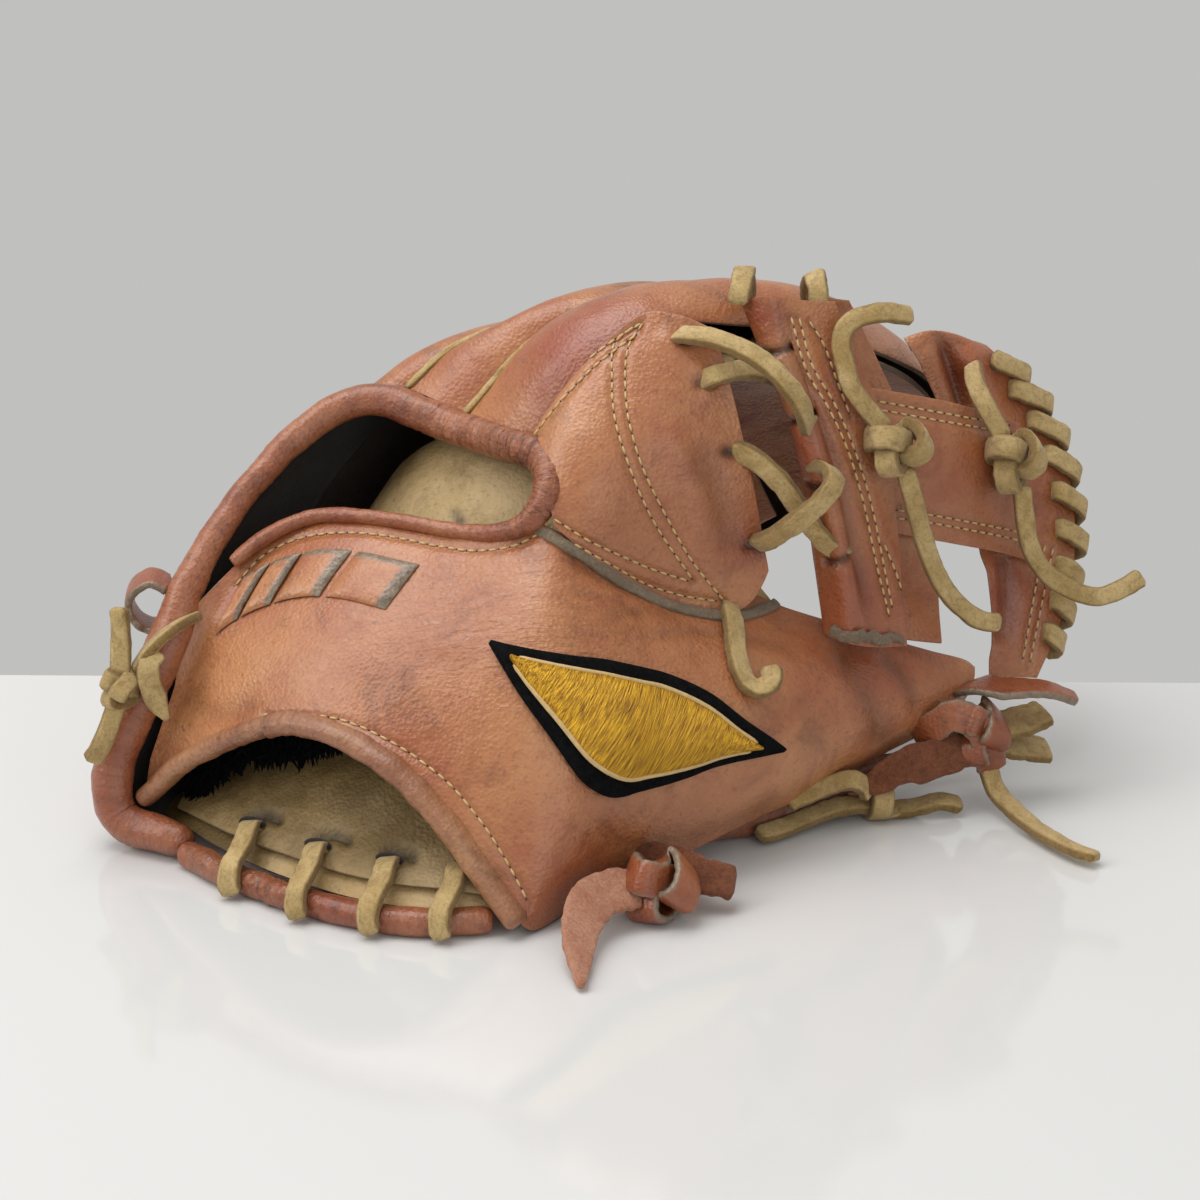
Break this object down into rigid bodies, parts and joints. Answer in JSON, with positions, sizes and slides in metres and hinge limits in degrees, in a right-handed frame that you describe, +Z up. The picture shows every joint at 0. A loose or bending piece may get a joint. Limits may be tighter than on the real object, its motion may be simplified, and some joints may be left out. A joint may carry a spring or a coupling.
{
  "type": "baseball infield glove",
  "caption": "Worn tan leather infield glove for the left hand, lying palm down, with laced web, open back, padded palm, wrist strap and loose rawhide ends.",
  "frame": {"origin": "middle of the glove's footprint, on the surface that it lies on", "axes": "+X towards the thumb side, +Y from the heel to the fingertips, +Z up from the table"},
  "size_m": [0.2605, 0.2478, 0.1566],
  "materials": {
    "tan_leather": "worn semi-gloss",
    "red_binding": "worn semi-gloss",
    "mauve_binding": "matte",
    "rawhide": "suede",
    "cream_lining": "matte",
    "navy_fleece": "deep pile",
    "gold_thread": "satin thread",
    "black_felt": "felt"
  },
  "bodies": {
    "root": {"palm_shell": "tan_leather", "palm_lining": "cream_lining", "heel_piping": "red_binding", "thumb_back": "tan_leather", "wrist_binding": "mauve_binding", "wrist_fleece": "navy_fleece", "back_binding": "red_binding", "index_panel": "tan_leather", "first_finger_back": "tan_leather", "middle_finger_back": "tan_leather", "ring_finger_back": "tan_leather", "little_finger_back": "tan_leather", "little_side_panel": "tan_leather", "finger_welt1": "rawhide", "finger_welt2": "rawhide", "finger_welt3": "rawhide", "web_inner_post": "tan_leather", "web_inner_leaf": "tan_leather", "web_crossbar": "tan_leather", "web_outer_post": "tan_leather", "web_edge_lace": "rawhide", "crotch_lace_1": "rawhide", "crotch_lace_2": "rawhide", "crotch_lace_3": "rawhide", "crotch_lace_4": "rawhide", "thumb_stay_lace": "rawhide", "web_top_lace_1": "rawhide", "web_top_lace_2": "rawhide", "thumb_rawhide": "rawhide", "heel_lace_1": "rawhide", "heel_lace_2": "rawhide", "heel_lace_3": "rawhide", "heel_lace_4": "rawhide", "near_tie_tail": "tan_leather", "near_tie_stub": "tan_leather", "thumb_tip_tail": "tan_leather", "thumb_tip_strap": "tan_leather", "thumb_tip_stub_1": "rawhide", "thumb_tip_stub_2": "rawhide", "little_tie_loop": "tan_leather", "web_knot_1": "rawhide", "web_knot_2": "rawhide", "near_tie_knot": "tan_leather", "thumb_tip_knot": "tan_leather", "strap_tie_knot": "rawhide", "web_tail_up_1": "rawhide", "web_tail_down_1": "rawhide", "web_tail_up_2": "rawhide", "web_tail_down_2": "rawhide", "floor_tail": "rawhide", "strap_tie_end_1": "rawhide", "strap_tie_end_2": "rawhide", "strap_tie": "rawhide", "badge_border": "black_felt", "badge": "gold_thread", "strap_pad_1": "tan_leather", "strap_pad_2": "tan_leather", "strap_pad_3": "tan_leather", "strap_pad_4": "tan_leather"}
  },
  "joints": []
}
